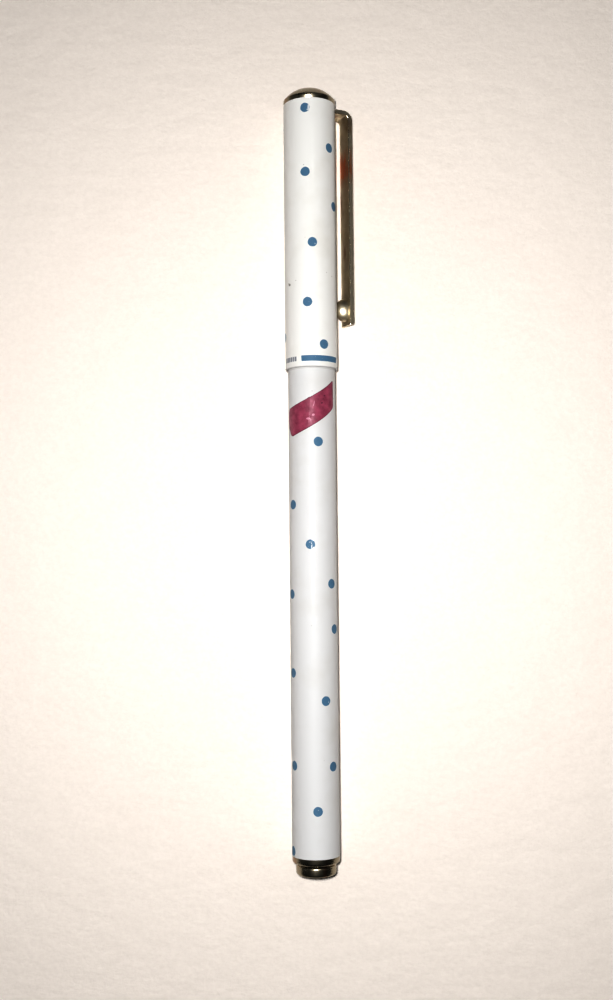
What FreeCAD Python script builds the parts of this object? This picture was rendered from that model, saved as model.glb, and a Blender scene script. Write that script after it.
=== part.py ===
import FreeCAD, Part
import Sketcher
import os
import re

# A capped rollerball pen, lying on its side, in millimetres.
# The pen's axis is the Y axis. Y is 0 at the tail plug's flat end and rises towards the cap's finial,
# and Z is up. The pocket clip stands out on the +X side, turned down until its corner is level with the
# cap's lowest line. Every turned piece is drawn as a half-section, radius across and height along the
# axis, from its own seat, which is the lowest point of its Placement.

# The driving dimensions. Heights along the pen (the ones that end in _seat) are from the tail's flat end.
DIMENSIONS = {
    # Cap
    "cap_diameter": 9.0, "cap_bore": 8.2, "cap_length": 46.3, "cap_seat": 85.2,
    "notch_width": 4.0, "notch_depth": 1.3, "tube_edge": 0.12,
    "rim_height": 0.8, "rim_step": 0.06, "rim_lead": 0.15, "lead_height": 0.5, "dome_height": 2.2,
    "collar_height": 0.5,
    "stud_diameter": 4.0, "stud_length": 4.0, "stud_gap": 0.05,
    # Clip
    "clip_angle": 22.0, "clip_width": 3.8, "clip_sheet": 0.75, "clip_reach": 7.31, "clip_length": 37.65,
    "clip_bend": 1.6, "clip_inner_bend": 0.85, "clip_end_round": 0.5,
    "tongue_reach": 5.2, "split_gap": 0.02, "bead_depth": 2.05, "bead_width": 2.9, "bead_run": 1.4,
    "bead_round": 1.38, "bead_touch": 0.03, "bead_height": 2.7,
    # Inside the cap
    "bush_height": 2.75, "press_gap": 0.02, "liner_seat": 91.5, "liner_length": 35.7,
    "liner_mouth": 7.72, "liner_detent": 7.9, "liner_bore": 7.52, "liner_chamber": 6.2,
    "liner_outside": 8.14, "liner_head": 7.4, "liner_step": 24.5, "liner_neck": 27.6, "liner_end": 0.7,
    "seal_height": 3.1, "seal_bore": 2.8, "seal_depth": 2.8,
    # Barrel
    "barrel_diameter": 8.1, "barrel_bore": 7.44, "barrel_seat": 3.1, "barrel_length": 85.2,
    "insert_length": 8.0, "thread_bore": 6.86,
    "plug_diameter": 6.8, "plug_height": 1.75, "plug_round": 0.45, "neck_diameter": 5.8,
    "flange_seat": 1.9, "flange_diameter": 8.04, "flange_round": 0.5,
    "tail_stud": 4.0, "tail_bush_length": 6.0, "spring_pocket": 5.3, "pocket_depth": 1.7,
    "spring_seat": 7.45, "spring_length": 7.7, "spring_diameter": 4.4, "spring_wire": 0.4,
    "spring_pitch": 1.2,
    # Crimson label
    "label_thick": 0.08, "label_gap": 0.01,
    # Writing section
    "ring_seat": 88.3, "ring_height": 1.0, "ring_bore": 6.86,
    "shank_diameter": 6.76, "shank_length": 7.5, "section_bore": 6.04, "section_length": 25.0,
    "flange_height": 1.1, "section_flange": 7.9, "grip_top": 7.3, "grip_end": 6.7,
    "groove_height": 0.7, "groove_seat": 3.3, "groove_diameter": 6.6,
    "spigot_diameter": 5.4, "spigot_length": 3.0, "spigot_bore": 4.6,
    "snap_outside": 7.6, "snap_inside": 6.72, "snap_height": 0.6, "snap_opening": 25.0,
    "cone_seat": 114.3, "cone_length": 8.9, "cone_front": 2.9, "cone_skirt": 3.1, "cone_shoulder": 4.1,
    "cone_middle": 5.7, "cone_bore": 2.56, "cone_edge": 0.08,
    # Refill
    "refill_seat": 15.2, "refill_diameter": 5.9, "refill_bore": 5.3, "refill_body": 92.0,
    "refill_plug_head": 0.8, "refill_plug_length": 3.2, "reservoir_length": 84.0, "reservoir_seat": 4.0,
    "reservoir_diameter": 5.2, "feed_length": 12.0, "feed_nose": 4.4,
    "feed_spigot": 3.0, "feed_bore": 1.0, "wick_diameter": 0.9, "wick_length": 24.85,
    "tip_diameter": 2.36, "tip_shank": 4.9, "tip_front": 0.95, "tip_socket": 0.78,
    "tip_lip": 0.72, "ball_diameter": 0.7, "ball_seat": 125.5,
}

doc = FreeCAD.newDocument("rollerball_pen")
sheet = doc.addObject("Spreadsheet::Sheet", "dims")
for row, (alias, number) in enumerate(DIMENSIONS.items(), 1):
    sheet.set("A%d" % row, alias)
    sheet.set("B%d" % row, str(number))
    sheet.setAlias("B%d" % row, alias)
doc.recompute()

H_AXIS = -1
V_AXIS = -2
PIECES = []


def bound(text):
    """The text as an expression on the sheet: every word in it names a cell."""
    return re.sub(r"[a-z_]+", r"dims.\g<0>", text)


def size(text):
    """The number that such a text stands for now."""
    return float(sheet.evalExpression(bound(text)))


def bind(feature, **sizes):
    """Tie a feature's properties to the sheet."""
    for name, text in sizes.items():
        feature.setExpression(name, bound(text))


def new_body(label, seat):
    """A sub-part whose own origin sits on the pen's axis at the height called seat."""
    body = doc.addObject("PartDesign::Body", label)
    body.Label = label
    body.setExpression("Placement.Base.y", bound(seat))
    PIECES.append(body)
    return body


def origin_plane(body, role):
    """One of the body's own origin planes."""
    return next(plane for plane in body.Origin.OriginFeatures if plane.Role == role)


def hold(sketch, run, end, direction, text, axis):
    """Keep a run's end at a bound distance from the sketch's origin, or on its axis for 0."""
    if text == "0":
        sketch.addConstraint(Sketcher.Constraint("PointOnObject", run, end, axis))
    else:
        number = sketch.addConstraint(Sketcher.Constraint(direction, -1, 1, run, end, size(text)))
        sketch.setExpression("Constraints[%d]" % number, bound(text))


def draw(body, name, corners, arcs=None, plane="XY_Plane"):
    """A closed outline on one of the body's planes. Corners are pairs of texts, across and along.

    Runs are straight, but arcs may give, by a corner's number, the point that the run after it bows through.
    An arc that ends on the axis has its centre there too, so that it turns into part of a ball, and one that
    bows across the other axis is half a circle.
    """
    sketch = body.newObject("Sketcher::SketchObject", name)
    sketch.AttachmentSupport = [(origin_plane(body, plane), "")]
    sketch.MapMode = "FlatFace"
    points = [FreeCAD.Vector(size(across), size(along), 0) for across, along in corners]
    count = len(points)
    starts = []
    for number, point in enumerate(points):
        following = points[(number + 1) % count]
        if arcs and number in arcs:
            across, along = arcs[number]
            bow = FreeCAD.Vector(size(across), size(along), 0)
            sketch.addGeometry(Part.Arc(point, bow, following), False)
        else:
            sketch.addGeometry(Part.LineSegment(point, following), False)
        starts.append(1 if sketch.getPoint(number, 1).distanceToPoint(point) < 0.001 else 2)
    for number in range(count):
        following = (number + 1) % count
        sketch.addConstraint(Sketcher.Constraint("Coincident", number, 3 - starts[number],
                                                 following, starts[following]))
    for number, (across, along) in enumerate(corners):
        hold(sketch, number, starts[number], "DistanceX", across, V_AXIS)
        hold(sketch, number, starts[number], "DistanceY", along, H_AXIS)
    for number in arcs or {}:
        if corners[(number + 1) % count][0] == "0":
            sketch.addConstraint(Sketcher.Constraint("PointOnObject", number, 3, V_AXIS))
        elif arcs[number][1] == "0":
            hold(sketch, number, 3, "DistanceX", corners[number][0], V_AXIS)
        else:
            sketch.addConstraint(Sketcher.Constraint("Radius", number, sketch.Geometry[number].Radius))
    return sketch


def turn(body, corners, angle=360, arcs=None):
    """Spin a half-section about the pen's axis."""
    name = body.Label
    spin = body.newObject("PartDesign::Revolution", name + "_turning")
    spin.Profile = draw(body, name + "_section", corners, arcs)
    spin.ReferenceAxis = (spin.Profile[0], ["V_Axis"])
    spin.Angle = angle
    doc.recompute()
    return spin


def turned(label, seat, corners):
    """A whole turned piece."""
    body = new_body(label, seat)
    turn(body, corners)
    return body


def pad(body, name, corners, width):
    """A plate drawn across the axis and thickened evenly to both sides of the drawing."""
    plate = body.newObject("PartDesign::Pad", name)
    plate.Profile = draw(body, name + "_outline", corners)
    plate.SideType = "Symmetric"
    bind(plate, Length=width)
    doc.recompute()
    return plate


def circles(feature):
    """The feature's circular edges, as pairs of name and circle."""
    for number, edge in enumerate(feature.Shape.Edges, 1):
        if not edge.Degenerated and isinstance(edge.Curve, Part.Circle):
            yield "Edge%d" % number, edge.Curve


def rims(feature, radius, height):
    """Names of the feature's circular edges with that radius round the axis at that height."""
    return [name for name, circle in circles(feature)
            if abs(circle.Radius - size(radius)) < 0.001 and abs(circle.Center.y - size(height)) < 0.001]


def cross_edges(feature, across, along):
    """Names of the feature's edges that run straight through that point of the drawing."""
    found = []
    for number, edge in enumerate(feature.Shape.Edges, 1):
        ends = [vertex.Point for vertex in edge.Vertexes]
        if all(abs(end.x - size(across)) < 0.001 and abs(end.y - size(along)) < 0.001 for end in ends):
            found.append("Edge%d" % number)
    return found


def edges_at(feature, across):
    """Names of the feature's edges that lie wholly at that distance out from the axis."""
    found = []
    for number, edge in enumerate(feature.Shape.Edges, 1):
        box = edge.BoundBox
        if box.XLength < 0.001 and abs(box.XMin - size(across)) < 0.001:
            found.append("Edge%d" % number)
    return found


def ease(feature, kind, edges, radius):
    """Round (Fillet) or bevel (Chamfer) edges of the body's last feature."""
    body = feature.getParentGeoFeatureGroup()
    finish = body.newObject("PartDesign::" + kind, "%s_%s" % (body.Label, kind.lower()))
    finish.Base = (feature, edges)
    bind(finish, **{"Radius" if kind == "Fillet" else "Size": radius})
    doc.recompute()
    return finish


def aim_at_clip(body):
    """Turn a piece about the pen's axis until its own +X side faces the pocket clip."""
    body.Placement.Rotation = FreeCAD.Rotation(FreeCAD.Vector(0, 1, 0), size("clip_angle"))
    body.setExpression("Placement.Rotation.Angle", bound("clip_angle"))


# ---- Cap ----

def build_cap_tube():
    """A thin tube, open at both ends, with a notch in its top edge where the clip comes out."""
    body = new_body("cap_tube", "cap_seat")
    tube = turn(body, [
        ("cap_bore / 2", "0"), ("cap_diameter / 2", "0"),
        ("cap_diameter / 2", "cap_length"), ("cap_bore / 2", "cap_length"),
    ])
    edge = ease(tube, "Chamfer", rims(tube, "cap_diameter / 2", "0"), "tube_edge")
    notch = body.newObject("PartDesign::Pocket", "cap_tube_notch")
    notch.Profile = draw(body, "cap_tube_notch_outline", [
        ("cap_bore / 4", "cap_length - notch_depth"), ("cap_diameter", "cap_length - notch_depth"),
        ("cap_diameter", "cap_length + notch_depth"), ("cap_bore / 4", "cap_length + notch_depth"),
    ])
    notch.SideType = "Symmetric"
    bind(notch, Length="notch_width")
    doc.recompute()
    if notch.Shape.Volume >= edge.Shape.Volume:
        raise RuntimeError("the notch cuts nothing")
    aim_at_clip(body)


def build_cap_finial():
    """Low dome on a rim, a collar that holds the clip down, and the stud that screws into the bush."""
    collar = "cap_bore / 2 - stud_gap"
    body = new_body("cap_finial", "cap_seat + cap_length")
    turn(body, [
        ("0", "-stud_length"), ("stud_diameter / 2", "-stud_length"),
        ("stud_diameter / 2", "-collar_height"), (collar, "-collar_height"), (collar, "0"),
        ("cap_diameter / 2 - rim_lead", "0"), ("cap_diameter / 2", "lead_height"),
        ("cap_diameter / 2", "rim_height"), ("cap_diameter / 2 - rim_step", "rim_height"),
        ("0", "rim_height + dome_height"),
    ], arcs={8: ("cap_diameter / 4", "rim_height + dome_height * 0.79")})


def build_clip_ring():
    """The clip's ring round the finial's stud, with the tongue that leaves through the notch."""
    body = new_body("clip_ring", "cap_seat + cap_length - collar_height - clip_sheet")
    turn(body, [
        ("stud_diameter / 2 + stud_gap", "0"), ("cap_bore / 2 - stud_gap", "0"),
        ("cap_bore / 2 - stud_gap", "clip_sheet"), ("stud_diameter / 2 + stud_gap", "clip_sheet"),
    ])
    pad(body, "clip_ring_tongue", [
        ("cap_bore / 4 + stud_diameter / 4", "0"), ("tongue_reach", "0"),
        ("tongue_reach", "clip_sheet"), ("cap_bore / 4 + stud_diameter / 4", "clip_sheet"),
    ], "clip_width")
    aim_at_clip(body)


def build_pocket_clip():
    """The clip from its bend down to its end, with the pressed oval bead that rests on the cap."""
    root = "(tongue_reach + split_gap)"
    inside = "(clip_reach - clip_sheet)"
    body = new_body("pocket_clip", "cap_seat + cap_length - collar_height - clip_length")
    low = "bead_height - bead_run / 2"
    high = "bead_height + bead_run / 2"
    side = "bead_width / 2"
    tip = "cap_diameter / 2 + bead_touch"
    bead = body.newObject("PartDesign::Pad", "pocket_clip_bead")
    bead.Profile = draw(body, "pocket_clip_bead_outline", [
        (low, "-" + side), (high, "-" + side), (high, side), (low, side),
    ], arcs={1: (high + " + " + side, "0"), 3: (low + " - " + side, "0")}, plane="YZ_Plane")
    bead.Profile[0].setExpression("AttachmentOffset.Base.z", bound(tip))
    bind(bead, Length="bead_depth")
    doc.recompute()
    ease(bead, "Fillet", edges_at(bead, tip), "bead_round")
    blade = pad(body, "pocket_clip_blade", [
        (root, "clip_length - clip_sheet"), (inside, "clip_length - clip_sheet"), (inside, "0"),
        ("clip_reach", "0"), ("clip_reach", "clip_length"), (root, "clip_length"),
    ], "clip_width")
    bend = ease(blade, "Fillet", cross_edges(blade, "clip_reach", "clip_length"), "clip_bend")
    inner = ease(bend, "Fillet", cross_edges(bend, inside, "clip_length - clip_sheet"), "clip_inner_bend")
    ease(inner, "Fillet", cross_edges(inner, "clip_reach", "0"), "clip_end_round")
    aim_at_clip(body)


def build_cap_bush():
    """Threaded bush pressed into the tube under the clip's ring."""
    return turned("cap_bush", "cap_seat + cap_length - collar_height - clip_sheet - bush_height", [
        ("stud_diameter / 2 + stud_gap", "0"), ("cap_bore / 2 - press_gap", "0"),
        ("cap_bore / 2 - press_gap", "bush_height"), ("stud_diameter / 2 + stud_gap", "bush_height"),
    ])


def build_inner_cap():
    """Moulded liner: a bead and a detent at its mouth, a bore for the section, a chamber for the point."""
    return turned("inner_cap", "liner_seat", [
        ("liner_mouth / 2", "0"), ("liner_outside / 2", "0"), ("liner_outside / 2", "liner_step"),
        ("liner_head / 2", "liner_neck - 1"), ("liner_head / 2", "liner_length"), ("0", "liner_length"),
        ("0", "liner_length - liner_end"), ("liner_chamber / 2", "liner_length - liner_end"),
        ("liner_chamber / 2", "liner_neck"), ("liner_bore / 2", "liner_step"), ("liner_bore / 2", "2.4"),
        ("liner_detent / 2", "2.1"), ("liner_detent / 2", "0.7"), ("liner_mouth / 2", "0.5"),
    ])


def build_tip_seal():
    """Soft plug at the closed end of the liner, hollowed for the point."""
    return turned("tip_seal", "liner_seat + liner_length - liner_end - seal_height", [
        ("seal_bore / 2", "0"), ("liner_chamber / 2 - press_gap", "0"),
        ("liner_chamber / 2 - press_gap", "seal_height"), ("0", "seal_height"), ("0", "seal_depth"),
        ("seal_bore / 2", "seal_depth"),
    ])


# ---- Barrel ----

def build_barrel_tube():
    """A thin straight tube from the tail plug to the trim ring."""
    body = new_body("barrel_tube", "barrel_seat")
    tube = turn(body, [
        ("barrel_bore / 2", "0"), ("barrel_diameter / 2", "0"),
        ("barrel_diameter / 2", "barrel_length"), ("barrel_bore / 2", "barrel_length"),
    ])
    ease(tube, "Chamfer", rims(tube, "barrel_diameter / 2", "barrel_length"), "tube_edge")


def build_thread_insert():
    """Sleeve with the female thread, pressed in flush with the barrel's mouth."""
    return turned("thread_insert", "barrel_seat + barrel_length - insert_length", [
        ("thread_bore / 2", "0"), ("barrel_bore / 2 - press_gap", "0"),
        ("barrel_bore / 2 - press_gap", "insert_length"), ("thread_bore / 2", "insert_length"),
    ])


def build_tail_bush():
    """Bush pressed into the barrel's tail: the plug's stud screws in below, the spring sits on top."""
    return turned("tail_bush", "barrel_seat + press_gap", [
        ("tail_stud / 2 + stud_gap", "0"), ("barrel_bore / 2 - press_gap", "0"),
        ("barrel_bore / 2 - press_gap", "tail_bush_length"), ("spring_pocket / 2", "tail_bush_length"),
        ("spring_pocket / 2", "tail_bush_length - pocket_depth"),
        ("tail_stud / 2 + stud_gap", "tail_bush_length - pocket_depth"),
    ])


def build_tail_plug():
    """End plug: a rounded button, a neck, a flange against the tube's end and a stud in the bush."""
    body = new_body("tail_plug", "0")
    plug = turn(body, [
        ("0", "0"), ("plug_diameter / 2", "0"), ("plug_diameter / 2", "plug_height"),
        ("neck_diameter / 2", "plug_height"), ("neck_diameter / 2", "flange_seat"),
        ("flange_diameter / 2", "flange_seat"), ("flange_diameter / 2", "barrel_seat"),
        ("tail_stud / 2", "barrel_seat"), ("tail_stud / 2", "barrel_seat + tail_bush_length / 2"),
        ("0", "barrel_seat + tail_bush_length / 2"),
    ])
    button = rims(plug, "plug_diameter / 2", "0") + rims(plug, "plug_diameter / 2", "plug_height")
    button = ease(plug, "Fillet", button, "plug_round")
    ease(button, "Fillet", rims(button, "flange_diameter / 2", "flange_seat"), "flange_round")


def build_refill_spring():
    """Compression spring between the tail bush and the refill's plug."""
    coil = doc.addObject("Part::Helix", "refill_spring_path")
    bind(coil, Pitch="spring_pitch", Height="spring_length - spring_wire",
         Radius="spring_diameter / 2 - spring_wire / 2")
    wire = doc.addObject("Part::Circle", "refill_spring_wire")
    bind(wire, Radius="spring_wire / 2")
    wire.Placement.Rotation = FreeCAD.Rotation(FreeCAD.Vector(1, 0, 0), 90)
    wire.setExpression("Placement.Base.x", bound("spring_diameter / 2 - spring_wire / 2"))
    doc.recompute()
    spring = doc.addObject("Part::Sweep", "refill_spring")
    spring.Sections = [wire]
    spring.Spine = (coil, ["Edge%d" % number for number in range(1, len(coil.Shape.Edges) + 1)])
    spring.Solid = True
    spring.Frenet = True
    spring.Label = "refill_spring"
    # The helix climbs along Z in its own frame, so the spring is laid over onto the pen's axis.
    spring.Placement.Rotation = FreeCAD.Rotation(FreeCAD.Vector(1, 0, 0), -90)
    spring.setExpression("Placement.Base.y", bound("spring_seat + spring_wire / 2"))
    PIECES.append(spring)


def build_label_tape():
    """Thin sticker on the barrel's upper side: a sleeve's skin, cut by a slanting outline from above."""
    outer = doc.addObject("Part::Cylinder", "label_tape_skin")
    inner = doc.addObject("Part::Cylinder", "label_tape_bore")
    bind(outer, Radius="barrel_diameter / 2 + label_gap + label_thick")
    bind(inner, Radius="barrel_diameter / 2 + label_gap")
    for cylinder in (outer, inner):
        cylinder.Height = 20
        cylinder.Placement = FreeCAD.Placement(FreeCAD.Vector(0, 69, 0),
                                               FreeCAD.Rotation(FreeCAD.Vector(1, 0, 0), -90))
    sleeve = doc.addObject("Part::Cut", "label_tape_sleeve")
    sleeve.Base = outer
    sleeve.Tool = inner
    # Corners of the sticker as it is seen from above: across the pen, and height along it.
    corners = [(-3.9, 74.9), (-3.55, 73.4), (-2.05, 74.2), (0, 75.25), (2.05, 76.7), (3.62, 78.6),
               (3.62, 83.3), (2.05, 81.55), (0, 80.25), (-2.05, 79.25), (-3.55, 78.5), (-4.3, 78.0),
               (-4.3, 76.6)]
    points = [FreeCAD.Vector(across, along, 0) for across, along in corners]
    outline = doc.addObject("Part::Feature", "label_tape_outline")
    outline.Shape = Part.Face(Part.makePolygon(points + points[:1]))
    block = doc.addObject("Part::Extrusion", "label_tape_block")
    block.Base = outline
    block.Dir = FreeCAD.Vector(0, 0, 1)
    block.LengthFwd = 6
    tape = doc.addObject("Part::Common", "label_tape")
    tape.Base = sleeve
    tape.Tool = block
    tape.Label = "label_tape"
    PIECES.append(tape)


# ---- Writing section ----

def build_trim_ring():
    """Loose ring between the barrel's mouth and the section's flange."""
    body = new_body("trim_ring", "ring_seat")
    ring = turn(body, [
        ("ring_bore / 2", "0"), ("barrel_diameter / 2", "0"), ("barrel_diameter / 2", "ring_height"),
        ("ring_bore / 2", "ring_height"),
    ])
    both = rims(ring, "barrel_diameter / 2", "0") + rims(ring, "barrel_diameter / 2", "ring_height")
    ease(ring, "Fillet", both, "tube_edge")


def build_grip_section():
    """Threaded shank, flange, snap-ring groove, tapering grip and the spigot for the nose cone."""
    low = "-shank_length - ring_height"
    grip = "grip_top / 2"
    body = new_body("grip_section", "ring_seat + ring_height")
    turn(body, [
        ("section_bore / 2", low), ("shank_diameter / 2", low),
        ("shank_diameter / 2", "0"), ("section_flange / 2", "0"), ("section_flange / 2", "flange_height"),
        (grip, "flange_height + 0.3"), (grip, "groove_seat"), ("groove_diameter / 2", "groove_seat"),
        ("groove_diameter / 2", "groove_seat + groove_height"), (grip, "groove_seat + groove_height"),
        (grip, "6.5"), ("grip_end / 2", "section_length"), ("spigot_diameter / 2", "section_length"),
        ("spigot_diameter / 2", "section_length + spigot_length"),
        ("spigot_bore / 2", "section_length + spigot_length"), ("spigot_bore / 2", "section_length - 6"),
        ("section_bore / 2", "section_length - 6.7"),
    ])


def build_snap_ring():
    """Split spring ring, loose in the section's groove."""
    groove_middle = "ring_seat + ring_height + groove_seat + groove_height / 2"
    body = new_body("snap_ring", groove_middle + " - snap_height / 2")
    ring = turn(body, [
        ("snap_inside / 2", "0"), ("snap_outside / 2", "0"), ("snap_outside / 2", "snap_height"),
        ("snap_inside / 2", "snap_height"),
    ], 360 - size("snap_opening"))
    outside = rims(ring, "snap_outside / 2", "0") + rims(ring, "snap_outside / 2", "snap_height")
    ease(ring, "Fillet", outside, "tube_edge")


def build_nose_cone():
    """Hollow bullet-shaped cone screwed over the section's spigot; its shoulder stops the refill."""
    body = new_body("nose_cone", "cone_seat")
    cone = turn(body, [
        ("spigot_diameter / 2 + stud_gap", "0"), ("grip_end / 2", "0"), ("cone_front / 2", "cone_length"),
        ("cone_bore / 2", "cone_length"), ("cone_bore / 2", "cone_shoulder + 1"),
        ("spigot_bore / 2", "cone_shoulder"), ("spigot_bore / 2", "cone_skirt"),
        ("spigot_diameter / 2 + stud_gap", "cone_skirt"),
    ], arcs={1: ("cone_middle / 2", "cone_length / 2")})
    ease(cone, "Fillet", rims(cone, "cone_front / 2", "cone_length"), "cone_edge")


# ---- Refill ----

def build_refill_tube():
    """The refill's straight tube."""
    return turned("refill_tube", "refill_seat + refill_plug_head", [
        ("refill_bore / 2", "0"), ("refill_diameter / 2", "0"),
        ("refill_diameter / 2", "refill_body - refill_plug_head"),
        ("refill_bore / 2", "refill_body - refill_plug_head"),
    ])


def build_refill_plug():
    """Plug in the refill's rear end, with the head that the spring pushes on."""
    body = new_body("refill_plug", "refill_seat")
    plug = turn(body, [
        ("0", "0"), ("refill_diameter / 2", "0"), ("refill_diameter / 2", "refill_plug_head"),
        ("refill_bore / 2 - press_gap", "refill_plug_head"),
        ("refill_bore / 2 - press_gap", "refill_plug_length"), ("0", "refill_plug_length"),
    ])
    ease(plug, "Fillet", rims(plug, "refill_diameter / 2", "0"), "tube_edge")


def build_ink_reservoir():
    """Rod of fibre that holds the ink, with a blind hole at its front for the wick."""
    return turned("ink_reservoir", "refill_seat + reservoir_seat", [
        ("0", "0"), ("reservoir_diameter / 2", "0"), ("reservoir_diameter / 2", "reservoir_length"),
        ("wick_diameter / 2 + press_gap", "reservoir_length"),
        ("wick_diameter / 2 + press_gap", "reservoir_length - 8"), ("0", "reservoir_length - 8"),
    ])


def build_feed_body():
    """Moulded front of the refill: a spigot in the tube, a sloping shoulder and a narrow nose."""
    return turned("feed_body", "refill_seat + refill_body", [
        ("feed_bore / 2", "-feed_spigot"), ("refill_bore / 2 - press_gap", "-feed_spigot"),
        ("refill_bore / 2 - press_gap", "0"), ("refill_diameter / 2", "0"), ("feed_nose / 2", "1.2"),
        ("feed_nose / 2", "feed_length - 1"), ("tip_diameter / 2 + 0.2", "feed_length"),
        ("tip_diameter / 2 + press_gap", "feed_length"),
        ("tip_diameter / 2 + press_gap", "feed_length - 1.7"),
        ("feed_bore / 2", "feed_length - 1.7"),
    ])


def build_ink_wick():
    """The fine rod that carries the ink to the ball."""
    return turned("ink_wick", "refill_seat + refill_body - 7", [
        ("0", "0"), ("wick_diameter / 2", "0"), ("wick_diameter / 2", "wick_length - 4"),
        ("wick_diameter / 4", "wick_length - 3.2"), ("wick_diameter / 4", "wick_length"),
        ("0", "wick_length"),
    ])


def build_writing_tip():
    """Metal point: a straight shank and a cone whose lip holds the ball with a little play."""
    ball_centre = "(ball_seat - refill_seat - refill_body - feed_length + 1.68)"
    return turned("writing_tip", "refill_seat + refill_body + feed_length - 1.68", [
        ("wick_diameter / 2 + press_gap", "0"), ("tip_diameter / 2", "0"), ("tip_diameter / 2", "tip_shank"),
        ("tip_front / 2", ball_centre + " + 0.12"), ("tip_lip / 2", ball_centre + " + 0.12"),
        ("tip_socket / 2", ball_centre), ("tip_socket / 2", ball_centre + " - ball_diameter / 2 - 0.02"),
        ("wick_diameter / 4 + press_gap", ball_centre + " - ball_diameter / 2 - 0.02"),
        ("wick_diameter / 4 + press_gap", "tip_shank - 0.2"),
        ("wick_diameter / 2 + press_gap", "tip_shank - 0.9"),
    ])


def build_writing_ball():
    """The ball that rolls in the point."""
    body = new_body("writing_ball", "ball_seat")
    ball = body.newObject("PartDesign::AdditiveSphere", "writing_ball_sphere")
    bind(ball, Radius="ball_diameter / 2")


build_cap_tube()
build_cap_finial()
build_clip_ring()
build_pocket_clip()
build_cap_bush()
build_inner_cap()
build_tip_seal()
build_barrel_tube()
build_thread_insert()
build_tail_bush()
build_tail_plug()
build_refill_spring()
build_label_tape()
build_trim_ring()
build_grip_section()
build_snap_ring()
build_nose_cone()
build_refill_tube()
build_refill_plug()
build_ink_reservoir()
build_feed_body()
build_ink_wick()
build_writing_tip()
build_writing_ball()
doc.recompute()

for thing in doc.Objects:
    if "Invalid" in thing.State or "Error" in thing.State:
        raise RuntimeError("%s did not compute: %s" % (thing.Label, thing.State))
for piece in PIECES:
    if piece.Shape.isNull() or not piece.Shape.isValid() or not piece.Shape.Solids:
        raise RuntimeError("%s has no sound solid" % piece.Label)

os.makedirs("parts", exist_ok=True)
for piece in PIECES:
    piece.Shape.exportStep(os.path.join("parts", piece.Label + ".step"))
    box = piece.Shape.BoundBox
    print("%-14s solids %d  volume %9.3f  Y %8.3f to %8.3f  X %7.3f to %7.3f  Z %7.3f to %7.3f" % (
        piece.Label, len(piece.Shape.Solids), piece.Shape.Volume, box.YMin, box.YMax, box.XMin, box.XMax,
        box.ZMin, box.ZMax))
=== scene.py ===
import math
import random
import bmesh
import bpy
from mathutils import Matrix, Vector


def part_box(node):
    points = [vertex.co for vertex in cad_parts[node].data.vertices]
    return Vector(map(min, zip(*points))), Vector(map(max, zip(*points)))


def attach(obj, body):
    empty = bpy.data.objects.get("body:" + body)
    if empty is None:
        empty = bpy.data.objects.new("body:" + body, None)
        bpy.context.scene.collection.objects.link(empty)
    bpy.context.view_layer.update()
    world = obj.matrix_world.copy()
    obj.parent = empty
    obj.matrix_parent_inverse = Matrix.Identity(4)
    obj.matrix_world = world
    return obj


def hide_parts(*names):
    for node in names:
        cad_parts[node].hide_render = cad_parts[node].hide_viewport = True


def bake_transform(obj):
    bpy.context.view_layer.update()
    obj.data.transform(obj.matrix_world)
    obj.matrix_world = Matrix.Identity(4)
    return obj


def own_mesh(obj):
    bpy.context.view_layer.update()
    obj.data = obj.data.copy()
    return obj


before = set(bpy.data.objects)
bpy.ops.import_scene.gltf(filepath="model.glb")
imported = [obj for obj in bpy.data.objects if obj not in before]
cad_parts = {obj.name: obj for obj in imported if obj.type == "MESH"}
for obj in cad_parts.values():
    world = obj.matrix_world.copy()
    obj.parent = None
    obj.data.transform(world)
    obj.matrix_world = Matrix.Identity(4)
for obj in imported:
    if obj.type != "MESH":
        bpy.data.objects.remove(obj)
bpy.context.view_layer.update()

# A capped rollerball pen, lying on pale paper. The pen's axis is the Y axis, from the tail plug's flat end
# towards the cap's finial, and Z is up. Pieces are drawn in millimetres and built in metres.
MM = 0.001
AXIS_STEPS = 144


def reach(node):
    """Where a CAD node starts and ends along the pen, and its radius, in millimetres."""
    low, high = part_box(node)
    return low.y / MM, high.y / MM, high.z / MM


CAP_START, CAP_END, CAP_RADIUS = reach("cap_tube")
BARREL_START, BARREL_END, BARREL_RADIUS = reach("barrel_tube")
CLIP_START, CLIP_END, _ = reach("pocket_clip")
RING_START, RING_END, _ = reach("trim_ring")
SECTION_START = reach("grip_section")[0]
CONE_START, CONE_END, _ = reach("nose_cone")
TIP_START, TIP_END, _ = reach("writing_tip")
SPRING_START, SPRING_END, SPRING_RADIUS = reach("refill_spring")
PEN_END = reach("cap_finial")[1]

# The clip lies this far round from the pen's side, and its blade's outer face this far from the axis.
CLIP_ANGLE = math.radians(22)
CLIP_REACH = 7.31
CLIP_SHEET = 0.75
CLIP_WIDTH = 3.8
TONGUE_START = 2.1
CLIP_RUBBED = (119.2, 123.4)

# The cap's tube is a little slimmer than its node, so that the ink on it stays inside the CAD model's box.
SHELL_RADIUS = CAP_RADIUS - 0.02
CAP_BORE = 4.1
BARREL_BORE = 3.72
CAP_LIP = 0.15
# The barrel's darker band at the cap's lip: painted shade of the joint, with some grime.
BARREL_SHADE_AND_GRIME_START = CAP_START - 0.26
BARREL_SHADE_AND_GRIME_END = CAP_START + 0.1

# Ink stands this far off the lacquer, and the back of its closed skin goes this far in.
INK_HEIGHT = 0.01
INK_DEPTH = 0.03
SCRATCH_AND_HIGHLIGHT_RISE = 0.8 * INK_HEIGHT
DOT_RADIUS = 0.8
PRINT_HEIGHT = CAP_START + 1.42

# The section's shank, where the thread is, has the same bore as the grip.
THREAD_BORE = 3.02


# ---- Mesh helpers ----

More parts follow.
